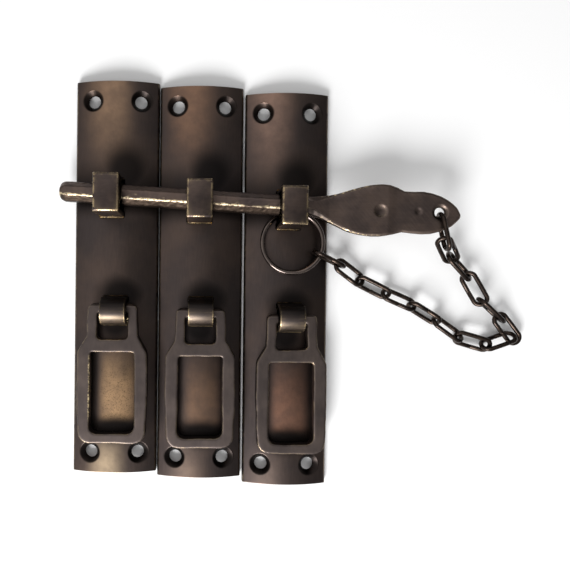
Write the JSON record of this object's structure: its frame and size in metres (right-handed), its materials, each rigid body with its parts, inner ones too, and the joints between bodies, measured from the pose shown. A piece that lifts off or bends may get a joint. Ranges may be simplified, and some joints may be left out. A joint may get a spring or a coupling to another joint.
{
  "type": "door latch",
  "caption": "Antique bronze door latch: convex back plates with square keepers, a sliding bolt with a flat leaf held by a ring and chain, and hanging stirrup pulls.",
  "frame": {"origin": "middle of the bounding box's bottom face, level with the backs of the plates", "axes": "+Z out of the plates, +X along the bolt's run towards its leaf, +Y up the plates, from the pulls to the bolt"},
  "size_m": [0.2406, 0.2086, 0.028],
  "materials": {
    "plate_bronze": "dark antique bronze, satin, rubbed lighter along the middle",
    "strap_bronze": "dark antique bronze with edges worn to brass",
    "pull_bronze": "dark antique bronze, satin, with slight wear on the edges",
    "bolt_bronze": "dark antique bronze, filed, with ridges worn to brass",
    "chain_bronze": "blackened bronze wire"
  },
  "bodies": {
    "plates": {"left_plate": "plate_bronze", "middle_plate": "plate_bronze", "right_plate": "plate_bronze", "left_keeper": "strap_bronze", "middle_keeper": "strap_bronze", "right_keeper": "strap_bronze", "left_arch": "strap_bronze", "middle_arch": "strap_bronze", "right_arch": "strap_bronze"},
    "bolt": {"bolt": "bolt_bronze"},
    "left_pull": {"left_pull": "pull_bronze"},
    "middle_pull": {"middle_pull": "pull_bronze"},
    "right_pull": {"right_pull": "pull_bronze"},
    "ring": {"ring": "chain_bronze"},
    "link_1": {"link_1": "chain_bronze"},
    "link_2": {"link_2": "chain_bronze"},
    "link_3": {"link_3": "chain_bronze"},
    "link_4": {"link_4": "chain_bronze"},
    "link_5": {"link_5": "chain_bronze"},
    "link_6": {"link_6": "chain_bronze"},
    "link_7": {"link_7": "chain_bronze"},
    "link_8": {"link_8": "chain_bronze"},
    "link_9": {"link_9": "chain_bronze"},
    "link_10": {"link_10": "chain_bronze"},
    "link_11": {"link_11": "chain_bronze"},
    "link_12": {"link_12": "chain_bronze"},
    "link_13": {"link_13": "chain_bronze"},
    "link_14": {"link_14": "chain_bronze"}
  },
  "joints": [
    {"name": "bolt_slide", "type": "slide", "parent": "plates", "child": "bolt", "axis": [0.9977, -0.0588, 0.0325], "range_m": [-0.004, 0.033]},
    {"name": "left_pull_lift", "type": "hinge", "parent": "plates", "child": "left_pull", "pos_m": [-0.09295, -0.0138, 0.0106], "axis": [-1, 0, 0], "range_deg": [0, 150]},
    {"name": "middle_pull_lift", "type": "hinge", "parent": "plates", "child": "middle_pull", "pos_m": [-0.04815, -0.0157, 0.0106], "axis": [-1, 0, 0], "range_deg": [0, 150]},
    {"name": "right_pull_lift", "type": "hinge", "parent": "plates", "child": "right_pull", "pos_m": [-0.00165, -0.0183, 0.0106], "axis": [-1, 0, 0], "range_deg": [0, 150]},
    {"name": "ring_swing", "type": "hinge", "parent": "plates", "child": "ring", "pos_m": [-0.00305, 0.02975, 0.0089], "axis": [0, 0, 1], "range_deg": [-2, 9]},
    {"name": "link_1_swing", "type": "hinge", "parent": "ring", "child": "link_1", "pos_m": [0.01315, 0.01483, 0.00976], "axis": [0, 0, 1], "range_deg": [-17, 3]},
    {"name": "link_2_swing", "type": "hinge", "parent": "link_1", "child": "link_2", "pos_m": [0.02282, 0.0105, 0.00701], "axis": [0, 0, 1], "range_deg": [-3, 17]},
    {"name": "link_3_swing", "type": "hinge", "parent": "link_2", "child": "link_3", "pos_m": [0.0356, 0.00167, 0.0037], "axis": [0, 0, 1], "range_deg": [-14, 3]},
    {"name": "link_4_swing", "type": "hinge", "parent": "link_3", "child": "link_4", "pos_m": [0.04866, -0.00485, 0.00438], "axis": [0, 0, 1], "range_deg": [-38, 6]},
    {"name": "link_5_swing", "type": "hinge", "parent": "link_4", "child": "link_5", "pos_m": [0.06188, -0.01054, 0.00455], "axis": [0, 0, 1], "range_deg": [-7, 44]},
    {"name": "link_6_swing", "type": "hinge", "parent": "link_5", "child": "link_6", "pos_m": [0.07606, -0.01916, 0.00412], "axis": [0, 0, 1], "range_deg": [-2, 8]},
    {"name": "link_7_swing", "type": "hinge", "parent": "link_6", "child": "link_7", "pos_m": [0.08773, -0.02733, 0.0036], "axis": [0, 0, 1], "range_deg": [-40, 6]},
    {"name": "link_8_swing", "type": "hinge", "parent": "link_7", "child": "link_8", "pos_m": [0.10107, -0.03115, 0.00479], "axis": [0, 0, 1], "range_deg": [-5, 2]},
    {"name": "link_9_swing", "type": "hinge", "parent": "link_8", "child": "link_9", "pos_m": [0.11543, -0.02623, 0.00378], "axis": [0, 0, 1], "range_deg": [-2, 3]},
    {"name": "link_10_swing", "type": "hinge", "parent": "link_9", "child": "link_10", "pos_m": [0.10764, -0.01651, 0.00459], "axis": [0, 0, 1], "range_deg": [-2, 3]},
    {"name": "link_11_swing", "type": "hinge", "parent": "link_10", "child": "link_11", "pos_m": [0.09748, -0.00811, 0.00692], "axis": [0, 0, 1], "range_deg": [-4, 2]},
    {"name": "link_12_swing", "type": "hinge", "parent": "link_11", "child": "link_12", "pos_m": [0.0902, 0.00513, 0.00605], "axis": [0, 0, 1], "range_deg": [-2, 3]},
    {"name": "link_13_swing", "type": "hinge", "parent": "link_12", "child": "link_13", "pos_m": [0.08057, 0.01405, 0.0091], "axis": [0, 0, 1], "range_deg": [-2, 3]},
    {"name": "link_14_swing", "type": "hinge", "parent": "bolt", "child": "link_14", "pos_m": [0.07053, 0.03617, 0.018], "axis": [0, 0, 1], "range_deg": [-33, 5]}
  ],
  "couplings": [
    {"joint": "ring_swing", "follows": "bolt_slide", "rad_per_m": 4.2307},
    {"joint": "link_1_swing", "follows": "bolt_slide", "rad_per_m": -8.0617},
    {"joint": "link_2_swing", "follows": "bolt_slide", "rad_per_m": 8.2118},
    {"joint": "link_3_swing", "follows": "bolt_slide", "rad_per_m": -6.3513},
    {"joint": "link_4_swing", "follows": "bolt_slide", "rad_per_m": -19.185},
    {"joint": "link_5_swing", "follows": "bolt_slide", "rad_per_m": 22.326},
    {"joint": "link_6_swing", "follows": "bolt_slide", "rad_per_m": 3.5151},
    {"joint": "link_7_swing", "follows": "bolt_slide", "rad_per_m": -20.597},
    {"joint": "link_8_swing", "follows": "bolt_slide", "rad_per_m": -1.7087},
    {"joint": "link_9_swing", "follows": "bolt_slide", "rad_per_m": 0.9285},
    {"joint": "link_10_swing", "follows": "bolt_slide", "rad_per_m": 0.9023},
    {"joint": "link_11_swing", "follows": "bolt_slide", "rad_per_m": -1.4434},
    {"joint": "link_12_swing", "follows": "bolt_slide", "rad_per_m": 0.9041},
    {"joint": "link_13_swing", "follows": "bolt_slide", "rad_per_m": 0.9023},
    {"joint": "link_14_swing", "follows": "bolt_slide", "rad_per_m": -16.666}
  ]
}
